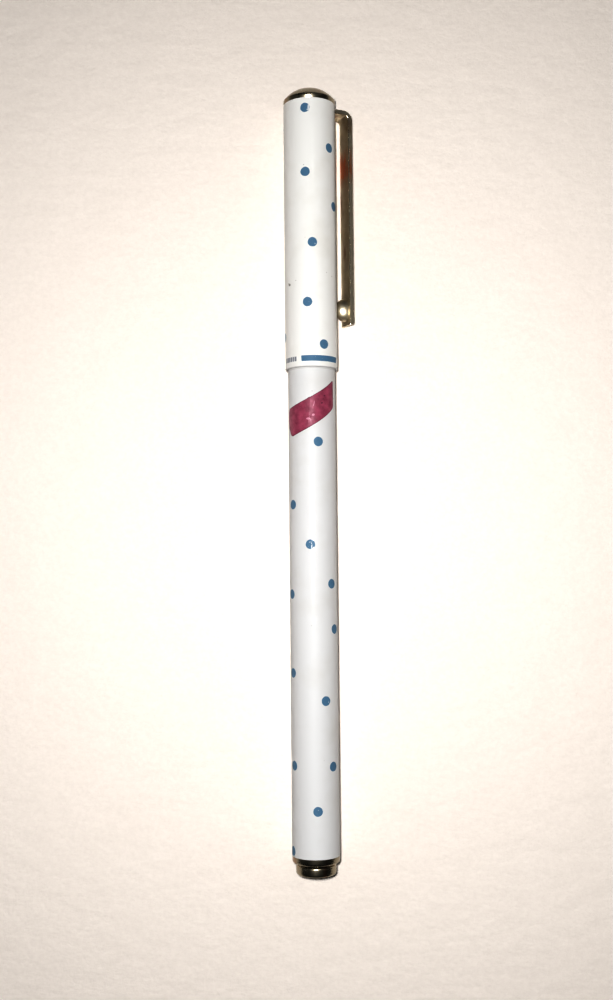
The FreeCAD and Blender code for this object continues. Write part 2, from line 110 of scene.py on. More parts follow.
def new_piece(name, points, faces, rides_on, stands_for=(), slot=None, finish=None, crease=28):
    """A mesh piece from points in millimetres: outward faces, smooth but for its sharp edges."""
    mesh = bpy.data.meshes.new(name)
    mesh.from_pydata([Vector(point) * MM for point in points], [], faces)
    work = bmesh.new()
    work.from_mesh(mesh)
    bmesh.ops.remove_doubles(work, verts=work.verts, dist=1e-7)
    bmesh.ops.recalc_face_normals(work, faces=work.faces)
    work.to_mesh(mesh)
    work.free()
    piece = bpy.data.objects.new(name, mesh)
    bpy.context.scene.collection.objects.link(piece)
    smooth(piece, crease)
    if finish:
        mesh.materials.append(finish)
    if rides_on:
        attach(piece, rides_on)
    if stands_for:
        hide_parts(*stands_for)
    return piece


def smooth(piece, crease):
    piece.data.shade_smooth()
    piece.data.set_sharp_from_angle(angle=math.radians(crease))


def weigh_normals(piece):
    """Flat faces stay flat beside small rounded edges."""
    modifier = piece.modifiers.new("weighted_normals", "WEIGHTED_NORMAL")
    modifier.keep_sharp = True


def tint_band(piece, finish, low, high):
    """Give the faces between two heights along the pen another finish."""
    piece.data.materials.append(finish)
    for face in piece.data.polygons:
        if low < face.center.y / MM < high:
            face.material_index = 1


def bake(piece, crease=28):
    """Turn a piece's modifiers into its mesh."""
    graph = bpy.context.evaluated_depsgraph_get()
    rough = piece.data
    piece.data = bpy.data.meshes.new_from_object(piece.evaluated_get(graph))
    piece.data.name = piece.name
    piece.modifiers.clear()
    bpy.data.meshes.remove(rough)
    smooth(piece, crease)


def rounded(outline, steps=6):
    """An outline's points. A corner may give a third number, its rounding, and then becomes an arc."""
    points = []
    for number, corner in enumerate(outline):
        here = Vector(corner[:2])
        rounding = corner[2] if len(corner) > 2 else 0
        if not rounding:
            points.append(here)
            continue
        back = (Vector(outline[number - 1][:2]) - here).normalized()
        ahead = (Vector(outline[(number + 1) % len(outline)][:2]) - here).normalized()
        half = back.angle(ahead) / 2
        centre = here + (back + ahead).normalized() * rounding / math.sin(half)
        first = here + back * rounding / math.tan(half) - centre
        last = here + ahead * rounding / math.tan(half) - centre
        for step in range(steps + 1):
            points.append(centre + first.slerp(last, step / steps).normalized() * rounding)
    return points


def lathe(name, outline, rides_on, seat=0, **rest):
    """A turned piece. Its closed outline's corners are radius, height above the seat, and any rounding."""
    points = []
    rings = []
    for radius, height in rounded(outline):
        count = AXIS_STEPS if radius > 1e-6 else 1
        rings.append(range(len(points), len(points) + count))
        for step in range(count):
            turn = 2 * math.pi * step / count
            points.append((radius * math.sin(turn), seat + height, radius * math.cos(turn)))
    faces = []
    for ring, following in zip(rings, rings[1:] + rings[:1]):
        for step in range(AXIS_STEPS):
            corners = [ring[step % len(ring)], ring[(step + 1) % len(ring)],
                       following[(step + 1) % len(following)], following[step % len(following)]]
            corners = list(dict.fromkeys(corners))
            if len(corners) > 2:
                faces.append(corners)
    return new_piece(name, points, faces, rides_on, **rest)


def on_tube(radius, angle, height):
    """A point on a tube: the angle is from its top line towards the clip's side."""
    return (radius * math.sin(angle), height, radius * math.cos(angle))


def along_clip(across, height, sideways):
    """A point in the clip's own directions: out from the axis, along the pen, and across the blade."""
    return (across * math.cos(CLIP_ANGLE) + sideways * math.sin(CLIP_ANGLE), height,
            -across * math.sin(CLIP_ANGLE) + sideways * math.cos(CLIP_ANGLE))


def ink_edge(half_along, half_round, corner):
    """Points round a patch of ink, across and along: an ellipse, or a bar if its corner has a rounding."""
    steps = 64
    longest = 0.12
    if not corner:
        turns = [2 * math.pi * step / steps for step in range(steps)]
        return [(half_round * math.cos(turn), half_along * math.sin(turn)) for turn in turns]
    bends = rounded([(half_round, -half_along, corner), (half_round, half_along, corner),
                     (-half_round, half_along, corner), (-half_round, -half_along, corner)])
    points = []
    for first, second in zip(bends, bends[1:] + bends[:1]):
        parts = max(1, round((second - first).length / longest))
        points += [first.lerp(second, part / parts)[:] for part in range(parts)]
    return points


def ink_patch(points, faces, radius, height, degrees, half_along=DOT_RADIUS, half_round=DOT_RADIUS, lean=0,
              corner=0):
    """Add one patch of ink on a tube: a thin closed skin with a slightly uneven edge."""
    edge = ink_edge(half_along, half_round, corner)
    spokes = len(edge)
    ring_width = 0.14
    rings = max(4, math.ceil(max(half_along, half_round) / ring_width))
    wobble = random.random() * 6
    shells = [(1.0, -INK_DEPTH), (1 - 0.04 / rings, INK_HEIGHT)]
    shells += [(share / rings, INK_HEIGHT) for share in range(rings - 1, 0, -1)]
    start = len(points)
    for share, rise in shells:
        for across, along in edge:
            turn = math.atan2(along, across)
            ragged = 0.012 * math.sin(3 * turn + wobble) + 0.008 * math.sin(7 * turn + wobble)
            around = share * (1 + ragged) * (across * math.cos(lean) - along * math.sin(lean))
            ahead = share * (1 + ragged) * (across * math.sin(lean) + along * math.cos(lean))
            points.append(on_tube(radius + rise, math.radians(degrees) + around / radius, height + ahead))
    for ring in range(len(shells) - 1):
        for spoke in range(spokes):
            here = start + ring * spokes
            above = here + spokes
            following = (spoke + 1) % spokes
            faces.append((here + spoke, here + following, above + following, above + spoke))
    last = start + (len(shells) - 1) * spokes
    points.append(on_tube(radius + INK_HEIGHT, math.radians(degrees), height))
    faces += [(last + spoke, last + (spoke + 1) % spokes, len(points) - 1) for spoke in range(spokes)]
    points.append(on_tube(radius - INK_DEPTH, math.radians(degrees), height))
    faces += [(start + (spoke + 1) % spokes, start + spoke, len(points) - 1) for spoke in range(spokes)]


def printed(name, radius, patches, rides_on, finish, slot=None):
    """One printed layer on a tube, from rows of height along the pen, degrees round from the top line, half
    length, half width, lean in radians and corner rounding. A row of only the first two is a plain dot.
    """
    points = []
    faces = []
    for patch in patches:
        ink_patch(points, faces, radius, *patch)
    return new_piece(name, points, faces, rides_on, finish=finish, slot=slot, crease=50)


# ---- Materials ----

class Finish:
    """A procedural material under construction, with its coordinates in metres on the piece."""

    def __init__(self, name, **sockets):
        self.material = bpy.data.materials.new(name)
        self.material.use_nodes = True
        self.tree = self.material.node_tree
        self.tree.nodes.clear()
        self.surface = self.node("ShaderNodeBsdfPrincipled", **sockets)
        self.node("ShaderNodeOutputMaterial", Surface=self.surface.outputs["BSDF"])
        self.place = self.node("ShaderNodeTexCoord").outputs["Object"]
        self.normal = None

    def node(self, kind, **sockets):
        """A node with constants or links on its sockets, which are named with _ for spaces."""
        made = self.tree.nodes.new(kind)
        for name, value in sockets.items():
            self.feed(made.inputs[name.replace("_", " ")], value)
        return made

    def feed(self, socket, value):
        """Set one socket to a constant, or link it to another node's output."""
        if isinstance(value, bpy.types.NodeSocket):
            self.tree.links.new(value, socket)
        else:
            socket.default_value = value

    def noise(self, size, detail=3.0, roughness=0.55, stretch=(1, 1, 1), shift=0.0):
        """Noise whose features are about this many millimetres, longer along an axis by its stretch."""
        scaled = self.node("ShaderNodeMapping", Vector=self.place, Location=(shift, shift, shift),
                           Scale=tuple(1 / (size * MM * part) for part in stretch))
        texture = self.node("ShaderNodeTexNoise", Vector=scaled.outputs["Vector"], Scale=1.0,
                            Detail=detail, Roughness=roughness)
        return texture.outputs["Fac"]

    def cells(self, size):
        """Distance to the nearest of scattered points, this many millimetres apart, from 0 at a point."""
        texture = self.node("ShaderNodeTexVoronoi", Vector=self.place, Scale=1 / (size * MM))
        return texture.outputs["Distance"]

    def window(self, value, start, end, low=0.0, high=1.0):
        """The value mapped from start..end to low..high, held at the ends."""
        ranged = self.node("ShaderNodeMapRange", Value=value, From_Min=start, From_Max=end, To_Min=low,
                           To_Max=high)
        return ranged.outputs["Result"]

    def blend(self, mask, first, second):
        """Two colours mixed by a mask. The node's colour sockets have numbers, because its names repeat."""
        mixed = self.node("ShaderNodeMix")
        mixed.data_type = "RGBA"
        for number, value in ((0, mask), (6, first), (7, second)):
            self.feed(mixed.inputs[number], value)
        return mixed.outputs[2]

    def combine(self, operation, *values):
        """Values added, multiplied or otherwise combined, from the first to the last."""
        result = values[0]
        for value in values[1:]:
            step = self.node("ShaderNodeMath")
            step.operation = operation
            self.feed(step.inputs[0], result)
            self.feed(step.inputs[1], value)
            result = step.outputs[0]
        return result

    def bump(self, value, depth):
        """Relief from a value, this many millimetres deep, on top of any relief so far."""
        relief = self.node("ShaderNodeBump", Strength=1.0, Distance=depth * MM, Height=value)
        if self.normal:
            self.feed(relief.inputs["Normal"], self.normal)
        self.normal = relief.outputs["Normal"]
        self.feed(self.surface.inputs["Normal"], self.normal)

    def colour(self, value):
        self.feed(self.surface.inputs["Base Color"], value)

    def roughness(self, value, marks=None, extra=0.12):
        """Roughness from a value, and rougher where there are marks."""
        if marks:
            value = self.combine("ADD", value, self.combine("MULTIPLY", marks, extra))
        self.feed(self.surface.inputs["Roughness"], value)


def lacquer_finish(name, clean, stained, gloss):
    """White satin lacquer: slight orange peel, fine scuffs, faint grey stains and rare specks of dirt."""
    finish = Finish(name, IOR=1.5, Specular_IOR_Level=0.25, Coat_Weight=gloss, Coat_Roughness=0.12)
    stain = finish.window(finish.noise(7.0, shift=3.0), 0.5, 0.72)
    speck = finish.window(finish.cells(1.6), 0.035, 0.06, 1.0, 0.0)
    thinned = finish.window(finish.noise(2.4, shift=9.0), 0.55, 0.62)
    dirt = finish.combine("MULTIPLY", speck, thinned)
    finish.colour(finish.blend(dirt, finish.blend(stain, clean, stained), (0.33, 0.30, 0.27, 1)))
    scuff = finish.window(finish.noise(0.3, stretch=(1, 14, 1), shift=5.0), 0.6, 0.75)
    finish.roughness(finish.window(finish.noise(4.0), 0.3, 0.7, 0.5, 0.6), scuff, 0.14)
    finish.bump(finish.noise(1.3, detail=2.0), 0.004)
    finish.bump(scuff, 0.0015)
    return finish.material


def gold_finish(name, clean, dull, polish, worn_and_highlight_places=None):
    """Pale gold plate, dulled by handling: soft smears, coppery worn places and fine scratches both ways.

    The plate may also be worn through to copper between two heights along the pen, in millimetres.
    """
    finish = Finish(name, Metallic=1.0)
    smear = finish.noise(3.0, detail=4.0)
    plate = finish.blend(finish.window(smear, 0.4, 0.7), clean, dull)
    copper = finish.window(finish.noise(2.6, stretch=(1, 3, 1), shift=11.0), 0.58, 0.68, 0.0, 0.7)
    worn = finish.blend(copper, plate, (0.40, 0.25, 0.17, 1))
    if worn_and_highlight_places:
        height = finish.node("ShaderNodeSeparateXYZ", Vector=finish.place).outputs["Y"]
        start = finish.window(height, (worn_and_highlight_places[0] - 1.5) * MM, (worn_and_highlight_places[0] + 0.8) * MM)
        end = finish.window(height, (worn_and_highlight_places[1] - 0.8) * MM, (worn_and_highlight_places[1] + 1.5) * MM, 1.0, 0.0)
        patchy = finish.window(finish.noise(1.2, stretch=(1, 2.5, 1), shift=8.0), 0.34, 0.56)
        bare = finish.combine("MULTIPLY", start, end, patchy)
        worn = finish.blend(bare, worn, (0.72, 0.34, 0.2, 1))
    finish.colour(worn)
    around = finish.window(finish.noise(0.1, stretch=(12, 1, 12)), 0.55, 0.8)
    lengthwise = finish.window(finish.noise(0.12, stretch=(1, 16, 1), shift=4.0), 0.55, 0.8)
    scratch = finish.combine("MAXIMUM", around, lengthwise)
    finish.roughness(finish.window(smear, 0.3, 0.7, polish, polish + 0.1), scratch)
    finish.bump(scratch, 0.002)
    finish.bump(finish.noise(0.9, detail=2.0, shift=7.0), 0.005)
    return finish.material


def ink_finish(name, colour, faded):
    """Pad-printed ink: nearly opaque, with fine mottling and worn spots that let the white through."""
    finish = Finish(name, IOR=1.45, Specular_IOR_Level=0.25)
    mottle = finish.noise(0.22, detail=4.0)
    worn = finish.window(finish.noise(0.5, detail=5.0, roughness=0.7, shift=2.0), 0.64, 0.7)
    finish.colour(finish.blend(worn, finish.blend(mottle, colour, faded), (0.697, 0.72, 0.736, 1)))
    finish.roughness(finish.window(mottle, 0.3, 0.7, 0.42, 0.55))
    finish.bump(mottle, 0.002)
    return finish.material


def label_finish(name, first, second, gloss):
    """Crimson film: satin, with uneven colour, a wrinkled face and specks of trapped dust."""
    finish = Finish(name, IOR=1.5, Specular_IOR_Level=0.4, Coat_Weight=gloss, Coat_Roughness=0.16)
    cloud = finish.window(finish.noise(1.1, detail=5.0, roughness=0.62), 0.34, 0.68)
    speck = finish.window(finish.cells(0.7), 0.05, 0.12, 1.0, 0.0)
    thinned = finish.window(finish.noise(0.9, shift=6.0), 0.56, 0.62)
    dust = finish.combine("MULTIPLY", speck, thinned)
    finish.colour(finish.blend(dust, finish.blend(cloud, first, second), (0.675, 0.377, 0.432, 1)))
    finish.roughness(finish.window(cloud, 0.3, 0.7, 0.34, 0.5))
    finish.bump(finish.noise(0.8, stretch=(1, 2.2, 1)), 0.028)
    finish.bump(dust, 0.012)
    return finish.material


def plastic_finish(name, first, second, gloss):
    """Moulded plastic with a slight flow pattern and fine rubbing."""
    finish = Finish(name, IOR=1.49)
    flow = finish.noise(1.2)
    finish.colour(finish.blend(flow, first, second))
    rub = finish.window(finish.noise(0.15, stretch=(9, 1, 9), shift=3.0), 0.58, 0.8)
    finish.roughness(finish.window(flow, 0.3, 0.7, gloss, gloss + 0.1), rub)
    finish.bump(flow, 0.003)
    finish.bump(rub, 0.001)
    return finish.material


def turned_metal_finish(name, first, second, polish):
    """Bare turned metal: tool marks round the axis and slight tarnish."""
    finish = Finish(name, Metallic=1.0)
    tarnish = finish.noise(1.8, detail=4.0)
    finish.colour(finish.blend(finish.window(tarnish, 0.4, 0.7), first, second))
    marks = finish.noise(0.08, stretch=(30, 1, 30))
    finish.roughness(finish.window(tarnish, 0.3, 0.7, polish, polish + 0.12))
    finish.bump(marks, 0.003)
    return finish.material


def rubber_finish():
    """Black rubber with a matt grain."""
    finish = Finish("seal_rubber", IOR=1.5)
    grain = finish.noise(0.12, detail=4.0)
    finish.colour(finish.blend(grain, (0.018, 0.018, 0.018, 1), (0.034, 0.033, 0.032, 1)))
    finish.roughness(finish.window(grain, 0.3, 0.7, 0.6, 0.8))
    finish.bump(grain, 0.01)
    return finish.material


def fibre_finish():
    """Ink-soaked fibre, its strands along the pen."""
    finish = Finish("ink_fibre", IOR=1.4)
    strands = finish.noise(0.08, stretch=(1, 40, 1))
    finish.colour(finish.blend(strands, (0.010, 0.016, 0.10, 1), (0.028, 0.045, 0.21, 1)))
    finish.roughness(finish.window(strands, 0.3, 0.7, 0.6, 0.85))
    finish.bump(strands, 0.02)
    return finish.material


def paper_finish():
    """Cream paper with a fine felt texture, faint mottling and shallow creases."""
    finish = Finish("cream_paper", IOR=1.4, Specular_IOR_Level=0.25)
    fibre = finish.noise(0.7, detail=6.0, roughness=0.65)
    crease = finish.noise(2.6, roughness=0.5, stretch=(1.8, 1, 1), shift=1.7)
    cloud = finish.noise(9.0, shift=0.3)
    base = finish.blend(cloud, (0.93, 0.868, 0.812, 1), (0.90, 0.838, 0.782, 1))
    finish.colour(finish.blend(finish.window(fibre, 0.35, 0.65, 0.0, 0.5), base, (0.85, 0.79, 0.735, 1)))
    finish.roughness(finish.window(fibre, 0.3, 0.7, 0.75, 0.95))
    finish.bump(fibre, 0.07)
    finish.bump(crease, 0.22)
    return finish.material


CAP_WHITE = lacquer_finish("cap_lacquer", (0.82, 0.81, 0.785, 1), (0.785, 0.77, 0.735, 1), 0.3)
# Darker lacquer for the cap's lip and the barrel beside it: painted shade of the joint, with some grime.
JOINT_SHADE_AND_GRIME_WHITE = lacquer_finish("joint_shade_and_grime_lacquer", (0.62, 0.61, 0.60, 1), (0.54, 0.53, 0.52, 1), 0.08)
BARREL_WHITE = lacquer_finish("barrel_lacquer", (0.70, 0.695, 0.69, 1), (0.675, 0.665, 0.65, 1), 0.08)
GOLD = gold_finish("gold_plate", (0.41, 0.37, 0.29, 1), (0.34, 0.30, 0.23, 1), 0.24)
# The clip's plate is painted lighter than the other gold, a lit copy of the same plate.
CLIP_GOLD = gold_finish("clip_plate", (0.70, 0.64, 0.52, 1), (0.60, 0.53, 0.41, 1), 0.38, CLIP_RUBBED)
# Lighter, glossier gold for the clip's rounded edges: a painted highlight line.
CLIP_EDGE_PAINTED_HIGHLIGHT = gold_finish("clip_edge_painted_highlight", (0.85, 0.79, 0.65, 1), (0.76, 0.68, 0.53, 1), 0.18)
BLUE_INK = ink_finish("blue_ink", (0.116, 0.224, 0.33, 1), (0.15, 0.265, 0.372, 1))
GREY_INK = ink_finish("grey_ink", (0.27, 0.28, 0.31, 1), (0.36, 0.37, 0.40, 1))
# White patches: scratches through the barrel's dot, and a painted highlight across the cap's top dot.
SCRATCH_AND_HIGHLIGHT_WHITE = ink_finish("bare_scratch_and_painted_highlight", (0.70, 0.71, 0.72, 1), (0.64, 0.66, 0.68, 1))
SMUDGE = ink_finish("dirt_smudge", (0.30, 0.28, 0.25, 1), (0.48, 0.46, 0.43, 1))
CRIMSON = label_finish("crimson_film", (0.43, 0.118, 0.186, 1), (0.27, 0.066, 0.108, 1), 0.14)
# A darker crimson for the label's border and pits: painted shade.
CRIMSON_PAINTED_SHADE = label_finish("crimson_film_painted_shade", (0.21, 0.062, 0.10, 1), (0.17, 0.05, 0.08, 1), 0.1)
# Light pink for spots on the label's bubbles: painted highlights.
CRIMSON_PAINTED_HIGHLIGHT = label_finish("crimson_film_painted_highlight", (0.66, 0.34, 0.43, 1), (0.56, 0.25, 0.33, 1), 0.1)
BLACK = plastic_finish("black_plastic", (0.0383, 0.0383, 0.041, 1), (0.0557, 0.0557, 0.058, 1), 0.14)
LINER = plastic_finish("liner_plastic", (0.794, 0.794, 0.771, 1), (0.747, 0.747, 0.723, 1), 0.4)
REFILL_SKIN = plastic_finish("refill_plastic", (0.794, 0.81, 0.817, 1), (0.755, 0.771, 0.787, 1), 0.28)
REFILL_CAP = plastic_finish("refill_cap_plastic", (0.0329, 0.0712, 0.261, 1),
                            (0.0485, 0.0914, 0.31, 1), 0.35)
BRASS = turned_metal_finish("raw_brass", (0.763, 0.615, 0.355, 1), (0.632, 0.488, 0.274, 1), 0.28)
STEEL = turned_metal_finish("spring_steel", (0.699, 0.699, 0.707, 1), (0.597, 0.597, 0.606, 1), 0.22)
NICKEL = turned_metal_finish("nickel_silver", (0.747, 0.731, 0.691, 1), (0.666, 0.649, 0.606, 1), 0.16)
CARBIDE = turned_metal_finish("carbide", (0.468, 0.468, 0.488, 1), (0.387, 0.387, 0.408, 1), 0.2)
RUBBER = rubber_finish()
FIBRE = fibre_finish()
PAPER = paper_finish()


# ---- Cap ----

def cap_shell():
    """The lacquered tube, rounded at its lip, with the notch where the clip comes out."""
    shell = lathe("cap_shell", [
        (CAP_BORE, CAP_START, 0.08), (SHELL_RADIUS, CAP_START, 0.12), (SHELL_RADIUS, CAP_START + CAP_LIP),
        (SHELL_RADIUS, CAP_END, 0.03), (CAP_BORE, CAP_END),
    ], "cap", stands_for=["cap_tube"], slot="white_lacquer", finish=CAP_WHITE)
    notch_depth = 1.3
    half_notch = 2
    corners = [along_clip(across, height, sideways) for across in (2, 6)
               for height in (CAP_END - notch_depth, CAP_END + 1) for sideways in (-half_notch, half_notch)]
    sides = [(0, 1, 3, 2), (4, 6, 7, 5), (0, 4, 5, 1), (2, 3, 7, 6), (0, 2, 6, 4), (1, 5, 7, 3)]
    block = new_piece("notch_block", corners, sides, None)
    cut = shell.modifiers.new("notch", "BOOLEAN")
    cut.operation = "DIFFERENCE"
    cut.solver = "EXACT"
    cut.object = block
    bake(shell)
    bpy.data.objects.remove(block)
    # The lip gets the darker lacquer: painted shade where the cap meets the barrel, with some grime.
    tint_band(shell, JOINT_SHADE_AND_GRIME_WHITE, CAP_START - 1, CAP_START + CAP_LIP)
    weigh_normals(shell)


def cap_dome():
    """The finial: a collar and stud inside the tube, a plain rim, a fine step and a low domed top."""
    stud, collar = 2.0, 4.05
    rim = 0.8
    widest = CAP_RADIUS - 0.01
    edge = CAP_RADIUS - 0.06
    rise = PEN_END - CAP_END - rim
    ball = (edge ** 2 + rise ** 2) / (2 * rise)
    outline = [(0, -4.0), (stud, -4.0), (stud, -0.5), (collar, -0.5), (collar, 0), (widest - 0.15, 0, 0.03),
               (widest, 0.5, 0.4), (widest, rim, 0.06), (edge - 0.06, rim), (edge - 0.02, rim + 0.03)]
    steps = 40
    for step in range(1, steps):
        turn = math.asin(edge / ball) * (1 - step / steps)
        outline.append((ball * math.sin(turn), rim + rise - ball * (1 - math.cos(turn))))
    outline.append((0, rim + rise))
    dome = lathe("cap_dome", outline, "cap", CAP_END, stands_for=["cap_finial"], slot="gold_plate",
                 finish=GOLD, crease=24)
    weigh_normals(dome)


def clip():
    """The bent sheet: a tongue in the cap's notch, a tight bend, the blade, and the pressed bead."""
    inner = CLIP_REACH - CLIP_SHEET
    inner_bend = 0.85
    side = rounded([
        (TONGUE_START, CLIP_END - CLIP_SHEET), (inner, CLIP_END - CLIP_SHEET, inner_bend),
        (inner, CLIP_START), (CLIP_REACH, CLIP_START, 0.5),
        (CLIP_REACH, CLIP_END, inner_bend + CLIP_SHEET), (TONGUE_START, CLIP_END),
    ], 14)
    half = CLIP_WIDTH / 2
    count = len(side)
    points = [along_clip(*place, sideways) for sideways in (-half, half) for place in side]
    faces = [tuple(range(count)), tuple(range(2 * count - 1, count - 1, -1))]
    faces += [(n, (n + 1) % count, count + (n + 1) % count, count + n) for n in range(count)]
    blade = new_piece("clip_blade", points, faces, None, slot="gold_plate", finish=CLIP_GOLD, crease=35)
    # The rounded edges take the lighter gold: a painted highlight along them.
    blade.data.materials.append(CLIP_EDGE_PAINTED_HIGHLIGHT)
    edges = blade.modifiers.new("rounded_highlight_edges", "BEVEL")
    edges.limit_method = "ANGLE"
    edges.angle_limit = math.radians(40)
    edges.width = 0.14 * MM
    edges.segments = 5
    edges.material = 1
    bake(blade, 35)
    bead = clip_bead(inner)
    join = blade.modifiers.new("bead", "BOOLEAN")
    join.operation = "UNION"
    join.solver = "EXACT"
    join.object = bead
    bake(blade, 35)
    bpy.data.objects.remove(bead)
    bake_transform(blade)
    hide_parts("pocket_clip", "clip_ring")
    weigh_normals(blade)


def clip_bead(inner):
    """The oval bead, pressed out of the sheet, that almost touches the cap."""
    half_long, half_wide = 2.05, 1.42
    middle = CLIP_START + 2.75
    gap = 0.03
    depth = inner - CAP_RADIUS - gap
    levels = [(inner + 0.4, 1.0)]
    rows = 20
    for row in range(rows):
        turn = math.pi / 2 * row / rows
        levels.append((inner - depth * math.sin(turn), math.cos(turn)))
    count = 56
    points = []
    for across, share in levels:
        for step in range(count):
            turn = 2 * math.pi * step / count
            points.append(along_clip(across, middle + half_long * share * math.cos(turn),
                                     half_wide * share * math.sin(turn)))
    faces = [tuple(range(count))]
    for row in range(len(levels) - 1):
        for step in range(count):
            here = row * count
            above = here + count
            following = (step + 1) % count
            faces.append((here + step, here + following, above + following, above + step))
    last = len(points) - count
    points.append(along_clip(inner - depth, middle, 0))
    faces += [(last + step, last + (step + 1) % count, len(points) - 1) for step in range(count)]
    return new_piece("clip_bead", points, faces, None)


def cap_print():
    """Blue dots, a bar round the lip and a row of plain dashes in place of lettering."""
    front = [(129.7, -9.6), (123.1, 48.6), (118.6, -10.5), (113.2, 64.7), (106.45, 4.1), (96.23, -7.8),
             (89.05, 28.6), (90.8, -85)]
    back = [(125.9, 128), (121.8, -152), (114.9, -128), (109.3, 172), (102.1, -118), (98.7, 141),
            (93.9, -161), (103.9, 98), (127.5, -96)]
    printed("cap_dots", SHELL_RADIUS, front + back, "cap", BLUE_INK)
    # A whitened streak on the top dot: the cap's gloss highlight, painted.
    scratch_and_highlight_patches = [(129.62, -1.9, 0.62, 0.16), (129.3, -4.6, 0.1, 0.12)]
    printed("cap_dot_painted_highlight", SHELL_RADIUS + SCRATCH_AND_HIGHLIGHT_RISE, scratch_and_highlight_patches, "cap", SCRATCH_AND_HIGHLIGHT_WHITE)
    smudges = [(99.5, -54, 0.2, 0.26), (99.72, -57, 0.1, 0.14)]
    printed("cap_smudge", SHELL_RADIUS, smudges, "cap", SMUDGE)
    printed("cap_bar", SHELL_RADIUS, [(PRINT_HEIGHT, 22.6, 0.48, 3.56, 0, 0.12)], "cap", BLUE_INK)
    places = [(-37.5, 0.2), (-43.5, 0.16), (-49.5, 0.21), (-56, 0.18), (-62.5, 0.23), (-70, 0.19)]
    dashes = [(PRINT_HEIGHT, degrees, 0.4, half_length, 0, 0.07) for degrees, half_length in places]
    printed("cap_dashes", SHELL_RADIUS, dashes, "cap", GREY_INK)


# ---- Barrel ----

def barrel_shell():
    """The lacquered tube of the barrel, open at both ends, with a darker band at the cap's lip: painted shade
    of the joint, with some grime.
    """
    shell = lathe("barrel_shell", [
        (BARREL_BORE, BARREL_START), (BARREL_RADIUS, BARREL_START, 0.06), (BARREL_RADIUS, BARREL_SHADE_AND_GRIME_START),
        (BARREL_RADIUS, BARREL_SHADE_AND_GRIME_END), (BARREL_RADIUS, BARREL_END, 0.12), (BARREL_BORE, BARREL_END, 0.05),
    ], "barrel", stands_for=["barrel_tube"], slot="white_lacquer", finish=BARREL_WHITE)
    tint_band(shell, JOINT_SHADE_AND_GRIME_WHITE, BARREL_SHADE_AND_GRIME_START, BARREL_SHADE_AND_GRIME_END)
    weigh_normals(shell)


def barrel_print():
    """Blue dots along the barrel, one of them scratched through."""
    front = [(72.53, 14.3), (62.0, -56.5), (55.25, -7.2), (48.6, 48.1), (46.9, -65.0), (41.0, 57.8),
             (33.7, -62.3), (29.13, 27.5), (18.3, -60.4), (18.2, 47.5), (11.03, 4.9), (4.1, -71.1)]
    back = [(69.8, 112), (66.5, -118), (65.1, 168), (58.9, 98), (52.7, -134), (50.5, 152), (43.4, -168),
            (39.1, 118), (36.3, -108), (27.9, 158), (24.6, -122), (19.9, 122), (13.1, -150), (8.5, 108)]
    printed("barrel_dots", BARREL_RADIUS, front + back, "barrel", BLUE_INK)
    scratch_and_highlight_patches = [(54.82, -4.2, 0.44, 0.1, -0.12), (55.42, -4.6, 0.14, 0.07, 0.5),
                 (54.66, 0.6, 0.2, 0.16, -0.5), (55.62, -8.5, 0.05, 0.14, 0.3)]
    printed("barrel_dot_scratch", BARREL_RADIUS + SCRATCH_AND_HIGHLIGHT_RISE, scratch_and_highlight_patches, "barrel", SCRATCH_AND_HIGHLIGHT_WHITE)


def tail_plug():
    """The gold end plug: a rounded button, a neck, and a flange that continues the barrel."""
    plug = lathe("tail_button", [
        (0, 0), (3.4, 0, 0.42), (3.4, 1.75, 0.45), (2.9, 1.75), (2.9, 1.9), (4.02, 1.9, 0.5), (4.02, 3.1),
        (2.0, 3.1), (2.0, 6.1), (0, 6.1),
    ], "barrel", stands_for=["tail_plug"], slot="gold_plate", finish=GOLD)
    weigh_normals(plug)


def refill_spring():
    """The compression spring behind the refill, with closed end coils."""
    wire = 0.2
    coil = SPRING_RADIUS - wire
    length = SPRING_END - SPRING_START - 2 * wire
    turns = 8
    # The coils at each end rise by a wire's thickness a turn, and the coils between them share the rest.
    closed = 0.16
    stacked = 2 * wire * turns * closed
    steps = turns * 40
    sides = 12
    points = []
    for step in range(steps + 1):
        share = step / steps
        turn = 2 * math.pi * turns * share
        spread = min(1.0, max(0.0, (share - closed) / (1 - 2 * closed)))
        height = SPRING_START + wire + stacked * min(share, closed) / closed
        height += (length - 2 * stacked) * spread + stacked * (1 - min(1 - share, closed) / closed)
        for side in range(sides):
            around = 2 * math.pi * side / sides
            radius = coil + wire * math.cos(around)
            rise = height + wire * math.sin(around)
            points.append((radius * math.sin(turn), rise, radius * math.cos(turn)))
    faces = [tuple(range(sides)), tuple(range(len(points) - 1, len(points) - 1 - sides, -1))]
    for step in range(steps):
        for side in range(sides):
            here = step * sides
            above = here + sides
            following = (side + 1) % sides
            faces.append((here + side, here + following, above + following, above + side))
    spring = new_piece("refill_coil", points, faces, "barrel", stands_for=["refill_spring"],
                       slot="spring_steel", finish=STEEL)
    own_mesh(spring)


def label_edges(turn):
    """The label's lower and upper edge at an angle in radians from the pen's top line: two gentle curves, the
    upper one with a small peak.
    """
    lower = 75.25 + 2.372 * turn + 0.658 * turn ** 2
    upper = 80.25 + 2.232 * turn + 0.526 * turn ** 2
    upper += 0.07 * math.exp(-((turn + 0.14) / 0.05) ** 2)
    return lower, upper


def label_rise(degrees, height):
    """How far the film stands off the barrel, in millimetres: bubbles, pits and long creases."""
    rise = 0
    middle = 77.3
    crease = 1.6
    for where, along, wide, tall, lift in ((6, 77.0, 5, 0.35, 0.022), (-6, 76.5, 4, 0.3, 0.02),
                                           (8, 78.8, 7, 0.2, 0.018), (31, 79.5, 3, 0.2, -0.015),
                                           (27, 79.0, 2.5, 0.2, -0.012), (-38, 76.3, 7, 0.5, 0.015),
                                           (52, 80.9, 6, 0.4, 0.018)):
        rise += lift * math.exp(-((degrees - where) / wide) ** 2 - ((height - along) / tall) ** 2)
    for where, lean, lift in ((-8, 1.5, 0.012), (20, -2.0, 0.008), (-30, 1.0, 0.008), (44, 2.5, 0.01)):
        rise += lift * math.exp(-((degrees - where - lean * (height - middle)) / crease) ** 2)
    return rise


